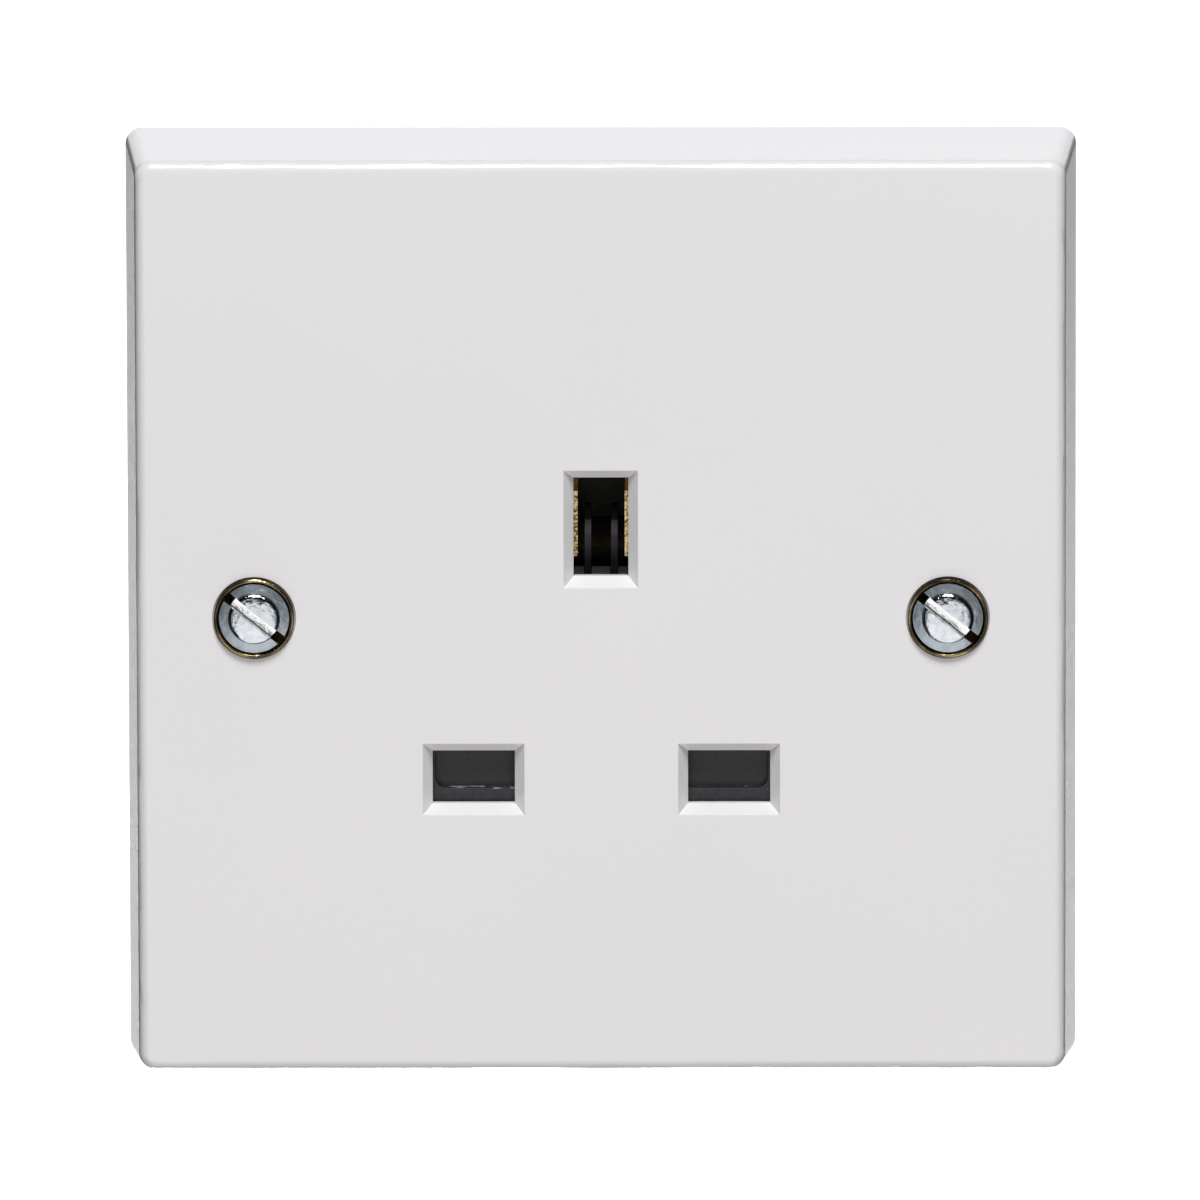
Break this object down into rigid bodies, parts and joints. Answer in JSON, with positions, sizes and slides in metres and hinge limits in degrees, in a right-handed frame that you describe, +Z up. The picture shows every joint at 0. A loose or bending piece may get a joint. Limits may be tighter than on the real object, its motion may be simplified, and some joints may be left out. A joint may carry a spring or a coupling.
{
  "type": "unswitched wall socket",
  "caption": "Square moulded wall socket plate with bevelled pin apertures, a sprung safety shutter, brass contacts and terminals behind it, and slotted fixing screws.",
  "frame": {"origin": "centre of the plate on the wall plane, where its rear rim lies", "axes": "+Z up, +X to the right seen from the front, +Y into the wall"},
  "size_m": [0.0826, 0.0276, 0.0826],
  "materials": {
    "white_moulding": "gloss moulded urea",
    "dark_shutter": "satin moulded",
    "dark_base": "matt moulded",
    "sheet_brass": "plain brass",
    "zinc_screw": "bright zinc plate",
    "spring_steel": "drawn wire"
  },
  "bodies": {
    "socket_body": {"front_plate": "white_moulding", "shutter_spring": "spring_steel", "rear_base": "dark_base", "live_contact": "sheet_brass", "neutral_contact": "sheet_brass", "earth_contact": "sheet_brass", "live_terminal": "sheet_brass", "neutral_terminal": "sheet_brass", "earth_terminal": "sheet_brass", "fixing_eyelet_left": "sheet_brass", "fixing_eyelet_right": "sheet_brass", "earth_strap": "sheet_brass", "fixing_screw_left": "zinc_screw", "fixing_screw_right": "zinc_screw", "live_terminal_screw": "zinc_screw", "neutral_terminal_screw": "zinc_screw", "earth_terminal_screw": "zinc_screw", "base_screw_left": "zinc_screw", "base_screw_right": "zinc_screw"},
    "shutter_body": {"shutter": "dark_shutter"}
  },
  "joints": [
    {"name": "shutter_slide", "type": "slide", "parent": "socket_body", "child": "shutter_body", "axis": [0, 0, -1], "range_m": [0, 0.0048], "stiffness_N_per_m": 120, "springref_m": -0.005, "deforming": ["shutter_spring"]}
  ]
}
